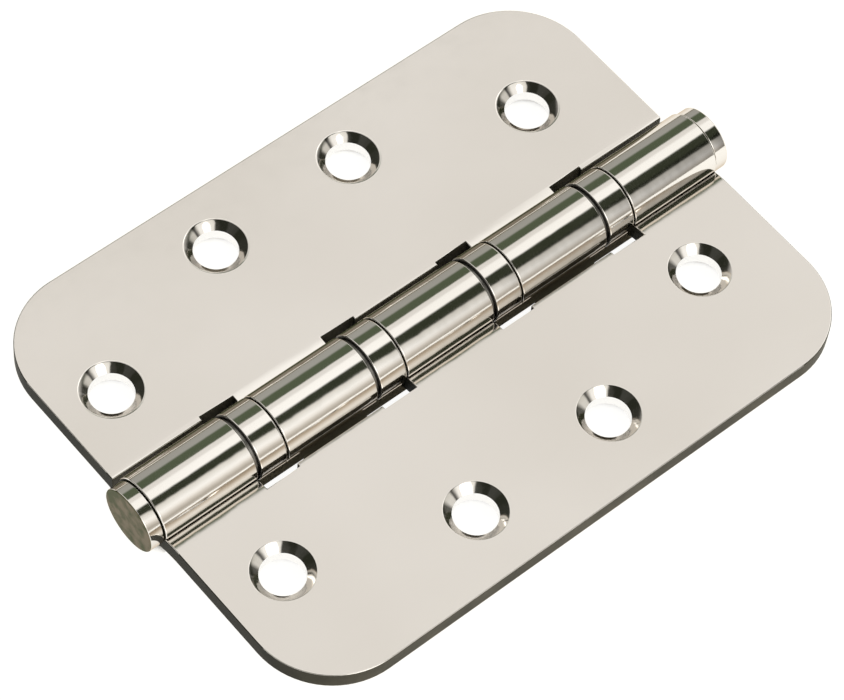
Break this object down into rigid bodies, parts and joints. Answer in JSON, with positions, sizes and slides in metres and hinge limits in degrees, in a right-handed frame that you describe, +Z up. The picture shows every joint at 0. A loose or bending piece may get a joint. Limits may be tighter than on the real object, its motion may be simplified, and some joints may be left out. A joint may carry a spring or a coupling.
{
  "type": "butt hinge",
  "caption": "Butt hinge with rounded corners: two countersunk leaves rolled into knuckles round one pin, with ball bearing collars between the knuckles.",
  "frame": {"origin": "middle of the pin's axis", "axes": "+X across the leaves towards the leaf that has the end knuckles, +Y along the pin towards the top cap, +Z up, out of the screw faces"},
  "size_m": [0.075, 0.1048, 0.0106],
  "materials": {
    "plate": "polished nickel plate",
    "cap": "polished band with a dull end face",
    "steel": "ground steel"
  },
  "bodies": {
    "frame_side": {"frame_leaf": "plate", "hinge_pin": "steel", "bottom_cap": "cap", "top_cap": "cap", "bearing_1_race": "steel", "bearing_2_shell": "plate", "bearing_3_race": "steel", "bearing_4_shell": "plate"},
    "door_side": {"door_leaf": "plate", "bearing_1_shell": "plate", "bearing_2_race": "steel", "bearing_3_shell": "plate", "bearing_4_race": "steel"},
    "ball_row_1": {"bearing_1_balls": "steel"},
    "ball_row_2": {"bearing_2_balls": "steel"},
    "ball_row_3": {"bearing_3_balls": "steel"},
    "ball_row_4": {"bearing_4_balls": "steel"}
  },
  "joints": [
    {"name": "leaf_swing", "type": "hinge", "parent": "frame_side", "child": "door_side", "pos_m": [0, 0, 0], "axis": [0, 1, 0], "range_deg": [-90, 180]},
    {"name": "balls_1_roll", "type": "hinge", "parent": "frame_side", "child": "ball_row_1", "pos_m": [0, 0, 0], "axis": [0, 1, 0], "range_deg": [-46, 91]},
    {"name": "balls_2_roll", "type": "hinge", "parent": "frame_side", "child": "ball_row_2", "pos_m": [0, 0, 0], "axis": [0, 1, 0], "range_deg": [-46, 91]},
    {"name": "balls_3_roll", "type": "hinge", "parent": "frame_side", "child": "ball_row_3", "pos_m": [0, 0, 0], "axis": [0, 1, 0], "range_deg": [-46, 91]},
    {"name": "balls_4_roll", "type": "hinge", "parent": "frame_side", "child": "ball_row_4", "pos_m": [0, 0, 0], "axis": [0, 1, 0], "range_deg": [-46, 91]}
  ],
  "couplings": [
    {"joint": "balls_1_roll", "follows": "leaf_swing", "ratio": 0.5},
    {"joint": "balls_2_roll", "follows": "leaf_swing", "ratio": 0.5},
    {"joint": "balls_3_roll", "follows": "leaf_swing", "ratio": 0.5},
    {"joint": "balls_4_roll", "follows": "leaf_swing", "ratio": 0.5}
  ]
}
